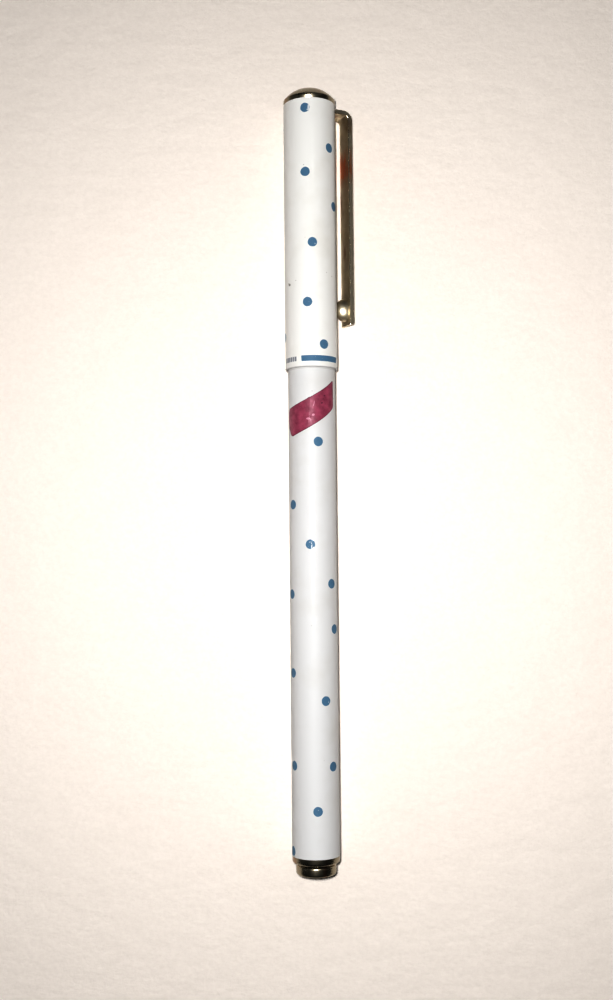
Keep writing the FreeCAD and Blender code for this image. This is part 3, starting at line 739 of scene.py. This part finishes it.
def label():
    """A crimson sticker wrapped askew round the upper side of the barrel, with a painted shade line round its
    edge, painted highlights on its bubbles and painted shade in its pits.
    """
    columns = 220
    rows = 44
    corner, pull = 0.04, 0.14
    dark_rows, dark_columns = 1, 3
    end = 60
    underside, outside = 0.002, 0.062
    points = []
    for lift in (underside, outside):
        for row in range(rows + 1):
            for column in range(columns + 1):
                along = column / columns
                inset = max(0.0, 1 - min(along, 1 - along) / corner)
                share = 0.5 + (row / rows - 0.5) * (1 - pull * (1 - math.sqrt(1 - inset ** 2)))
                left = -57 - 12 * share - 34 * share * (1 - share)
                degrees = left + along * (end - left)
                lower, upper = label_edges(math.radians(degrees))
                height = lower + share * (upper - lower)
                rim = min(1.0, 8 * min(row, rows - row, column, columns - column) / rows)
                rise = lift + (label_rise(degrees, height) * rim if lift == outside else 0)
                points.append(on_tube(BARREL_RADIUS + max(rise, underside), math.radians(degrees), height))
    wide = columns + 1
    sheet = wide * (rows + 1)
    faces = []
    for row in range(rows):
        for column in range(columns):
            first = row * wide + column
            above = first + wide
            faces.append((first, first + 1, above + 1, above))
            faces.append((sheet + first, sheet + above, sheet + above + 1, sheet + first + 1))
    border = list(range(wide)) + [row * wide + columns for row in range(1, rows + 1)]
    border += [rows * wide + column for column in range(columns - 1, -1, -1)]
    border += [row * wide for row in range(rows - 1, 0, -1)]
    for first, second in zip(border, border[1:] + border[:1]):
        faces.append((first, second, sheet + second, sheet + first))
    film = new_piece("label_film", points, faces, "barrel", stands_for=["label_tape"], slot="crimson_film",
                     finish=CRIMSON, crease=40)
    # The border rows and columns get the darker film: a painted shade line round the label's edge.
    film.data.materials.append(CRIMSON_PAINTED_SHADE)
    for number, face in enumerate(film.data.polygons):
        row, column = divmod(number // 2, columns)
        if not (dark_rows <= row < rows - dark_rows and dark_columns <= column < columns - dark_columns):
            face.material_index = 1
    # Light pink spots where the film's bubbles would catch the light: painted highlights.
    worn_and_highlight_places = [(77.03, 2.6, 0.2, 0.26, 0.4), (76.42, -9.3, 0.18, 0.34, 0.1), (78.95, 4.5, 0.5, 0.07, -0.2)]
    # Darker spots in the film's pits: painted shade.
    pit_shade_spots = [(79.07, 23.7, 0.13, 0.2, 0.5), (80.35, 31, 0.12, 0.16, 0.3), (79.75, 27, 0.08, 0.13, 0.2)]
    spot_rise = 0.013
    radius = BARREL_RADIUS + outside + spot_rise
    printed("label_painted_highlights", radius, worn_and_highlight_places, "barrel", CRIMSON_PAINTED_HIGHLIGHT, slot="crimson_film")
    printed("label_pit_shade", radius, pit_shade_spots, "barrel", CRIMSON_PAINTED_SHADE, slot="crimson_film")


# ---- Writing section ----

def trim_ring():
    """The loose gold ring between barrel and section."""
    bore = 3.43
    ring = lathe("mouth_ring", [
        (bore, RING_START), (BARREL_RADIUS, RING_START, 0.14), (BARREL_RADIUS, RING_END, 0.14),
        (bore, RING_END),
    ], "ring", stands_for=["trim_ring"], slot="gold_plate", finish=GOLD)
    weigh_normals(ring)


def section_grip():
    """The black section: flange, groove for the snap ring, tapering grip with fine rings, and spigot."""
    thick, thin = 3.65, 3.35
    taper_start, taper_end = 6.5, 25.0
    taper = (thick - thin) / (taper_end - taper_start)
    flange = 3.95
    groove = 3.3
    spigot = 2.7
    outline = [(THREAD_BORE, -0.2), (flange, 0, 0.08), (flange, 1.1, 0.12), (thick, 1.4), (thick, 3.3, 0.03),
               (groove, 3.3), (groove, 4.0), (thick, 4.0, 0.03), (thick, taper_start)]
    for ring in range(5):
        height = 17.5 + ring * 1.1
        radius = thick - taper * (height - taper_start)
        outline += [(radius, height, 0.03), (radius - 0.12, height + 0.12, 0.04),
                    (radius - 0.12, height + 0.26, 0.04), (radius - taper * 0.38, height + 0.38, 0.03)]
    outline += [(thin, taper_end, 0.04), (spigot, taper_end), (spigot, 28.0), (2.3, 28.0), (2.3, 19.0),
                (THREAD_BORE, 18.3)]
    grip = lathe("section_body", outline, "section", RING_END, slot="black_plastic", finish=BLACK)
    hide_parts("grip_section")
    weigh_normals(grip)


def section_thread():
    """The shank with its 0.75 mm male thread, which runs out before the flange."""
    pitch = 0.75
    root, depth = 3.06, 0.32
    run_in, run_out, relief = 0.5, 0.4, 1.1
    low, high = SECTION_START, RING_END + 0.02
    rows = 110
    points = []
    for row in range(rows + 1):
        height = low + (high - low) * row / rows
        for step in range(AXIS_STEPS):
            turn = 2 * math.pi * step / AXIS_STEPS
            phase = ((height - low) / pitch + step / AXIS_STEPS) % 1
            crest = min(1.0, max(0.0, 1.7 - 4.2 * abs(phase - 0.5)))
            fade = min(1.0, (height - low) / run_in, max(0.0, (high - relief - height) / run_out))
            points.append(on_tube(root + depth * crest * fade, turn, height))
    for height in (high, low):
        for step in range(AXIS_STEPS):
            points.append(on_tube(THREAD_BORE, 2 * math.pi * step / AXIS_STEPS, height))
    faces = []
    circles = rows + 3
    for circle in range(circles):
        for step in range(AXIS_STEPS):
            here = circle * AXIS_STEPS
            there = (circle + 1) % circles * AXIS_STEPS
            following = (step + 1) % AXIS_STEPS
            faces.append((here + step, here + following, there + following, there + step))
    new_piece("section_thread", points, faces, "section", slot="black_plastic", finish=BLACK, crease=40)


def nose_cone():
    """The gold cone in front of the grip, bulging gently towards the point."""
    wide, narrow = 3.35, 1.45
    spigot = 2.75
    bulge = 0.5
    length = CONE_END - CONE_START
    outline = [(spigot, 0), (wide, 0, 0.05)]
    steps = 24
    for step in range(1, steps):
        share = step / steps
        swell = bulge * math.sin(math.pi * share) * (0.55 + 0.45 * share)
        outline.append((wide - (wide - narrow) * share + swell, length * share))
    outline += [(narrow, length, 0.08), (1.28, length), (1.28, 5.1), (2.3, 4.1), (2.3, 3.1), (spigot, 3.1)]
    cone = lathe("front_cone", outline, "section", CONE_START, stands_for=["nose_cone"], slot="gold_plate",
                 finish=GOLD, crease=24)
    weigh_normals(cone)


def writing_point():
    """The refill's metal point: a shank, a collar line and the tapered nose round the ball."""
    length = TIP_END - TIP_START
    shank = 1.18
    wick, channel = 0.47, 0.245
    point = lathe("refill_point", [
        (wick, 0), (shank, 0), (shank, 3.2, 0.03), (1.1, 3.28), (1.1, 3.42), (shank, 3.5, 0.03),
        (shank, 4.9, 0.1), (0.475, length - 0.02, 0.02), (0.36, length), (0.39, length - 0.12),
        (channel, length - 0.5), (channel, 4.7), (wick, 4.0),
    ], "refill", TIP_START, stands_for=["writing_tip"], slot="nickel_silver", finish=NICKEL)
    weigh_normals(point)


def plain_nodes():
    """Pieces that stay as they are in the CAD model get their finish."""
    finishes = {
        "cap_bush": BRASS, "inner_cap": LINER, "tip_seal": RUBBER, "thread_insert": BRASS,
        "tail_bush": BRASS, "snap_ring": STEEL, "refill_tube": REFILL_SKIN, "refill_plug": REFILL_CAP,
        "ink_reservoir": FIBRE, "feed_body": BLACK, "ink_wick": FIBRE, "writing_ball": CARBIDE,
    }
    for name, finish in finishes.items():
        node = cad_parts[name]
        node.data.materials.clear()
        node.data.materials.append(finish)


# ---- Setting ----

def paper():
    """The sheet of paper that the pen lies on."""
    level = -CAP_RADIUS
    points = [(-900, -900, level), (900, -900, level), (900, 1000, level), (-900, 1000, level)]
    new_piece("paper", points, [(0, 1, 2, 3)], None, finish=PAPER)


def lamp(name, place, target, width, watts, tint):
    """A soft square light aimed at a point, with its size in millimetres."""
    light = bpy.data.lights.new(name, "AREA")
    light.shape = "SQUARE"
    light.size = width * MM
    light.energy = watts
    light.color = tint
    holder = bpy.data.objects.new(name, light)
    bpy.context.scene.collection.objects.link(holder)
    aim = (Vector(target) - Vector(place)).to_track_quat("-Z", "Y")
    holder.matrix_world = Matrix.Translation(Vector(place) * MM) @ aim.to_matrix().to_4x4()


def surroundings():
    """A dim room, so that the gold reflects mostly shadow."""
    world = bpy.data.worlds.new("dim_room")
    world.use_nodes = True
    world.node_tree.nodes["Background"].inputs["Color"].default_value = (0.9, 0.95, 1.0, 1)
    world.node_tree.nodes["Background"].inputs["Strength"].default_value = 0.03
    bpy.context.scene.world = world


def camera():
    """Above the pen's middle, a little nearer the tail, with the finial at the top of the picture."""
    place = Vector((-1.09, 51.5, 204.0)) * MM
    target = Vector((-1.09, 62.9, 0)) * MM
    roll = math.radians(0.54)
    back = (place - target).normalized()
    right = Vector((math.cos(roll), -math.sin(roll), 0))
    up = back.cross(right).normalized()
    right = up.cross(back)
    lens = bpy.data.cameras.new("camera")
    lens.sensor_fit = "VERTICAL"
    lens.sensor_height = 36
    lens.lens = 43.0
    lens.clip_start = 0.01
    holder = bpy.data.objects.new("camera", lens)
    bpy.context.scene.collection.objects.link(holder)
    turn = Matrix((right, up, back)).transposed()
    holder.matrix_world = Matrix.Translation(place) @ turn.to_4x4()
    bpy.context.scene.camera = holder


random.seed(7)
camera()
paper()
# A small flash beside the camera, a soft wash from the left, and two weak lamps beyond the finial.
lamp("key", (-9, 60, 205), (22, 60, 0), 12, 0.545, (1.0, 1.0, 1.0))
lamp("fill", (-900, 60, 420), (0, 60, 0), 500, 0.16, (0.95, 0.98, 1.0))
lamp("panel", (420, 260, 430), (0, 110, 0), 200, 0.055, (1.0, 0.97, 0.9))
lamp("ceiling", (75, 223, 300), (0, 120, 0), 12, 0.016, (1.0, 0.98, 0.94))
surroundings()
bpy.context.scene.view_settings.view_transform = "Standard"
bpy.context.scene.view_settings.gamma = 0.6

cap_shell()
cap_dome()
clip()
cap_print()
barrel_shell()
barrel_print()
tail_plug()
refill_spring()
label()
trim_ring()
section_grip()
section_thread()
nose_cone()
writing_point()
plain_nodes()
